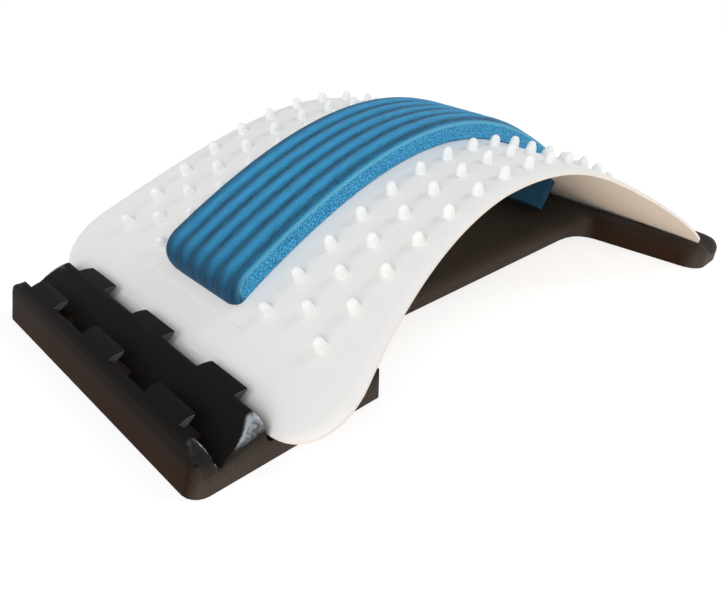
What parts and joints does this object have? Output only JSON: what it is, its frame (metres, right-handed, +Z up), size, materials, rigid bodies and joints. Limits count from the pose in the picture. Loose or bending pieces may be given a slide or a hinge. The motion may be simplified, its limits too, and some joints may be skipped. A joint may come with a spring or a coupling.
{
  "type": "lumbar back stretcher",
  "caption": "Arched back stretcher: a flexible nubbed plate with a foam pad, seated in the stepped hooks of a T-shaped moulded base.",
  "frame": {"origin": "on the floor, below the middle of the base's length and width", "axes": "+Z up; +Y along the base from its narrow hooked end to its wide end; +X across it, to the right when looking along +Y"},
  "size_m": [0.242, 0.3894, 0.0939],
  "materials": {
    "base_plastic": "black moulded plastic, fine texture with a soft sheen",
    "plate_plastic": "white moulded plastic, satin",
    "foam": "dark blue ribbed foam, cut sides brighter and speckled",
    "foot_rubber": "matt black rubber"
  },
  "bodies": {
    "base": {"base_frame": "base_plastic", "foot_pad_1": "foot_rubber", "foot_pad_2": "foot_rubber", "foot_pad_3": "foot_rubber", "foot_pad_4": "foot_rubber"},
    "arch": {"arch_plate": "plate_plastic", "foam_pad": "foam"}
  },
  "joints": [
    {"name": "arch_release", "type": "slide", "parent": "base", "child": "arch", "axis": [0, 0.7891, 0.6143], "range_m": [0, 0.06]}
  ]
}
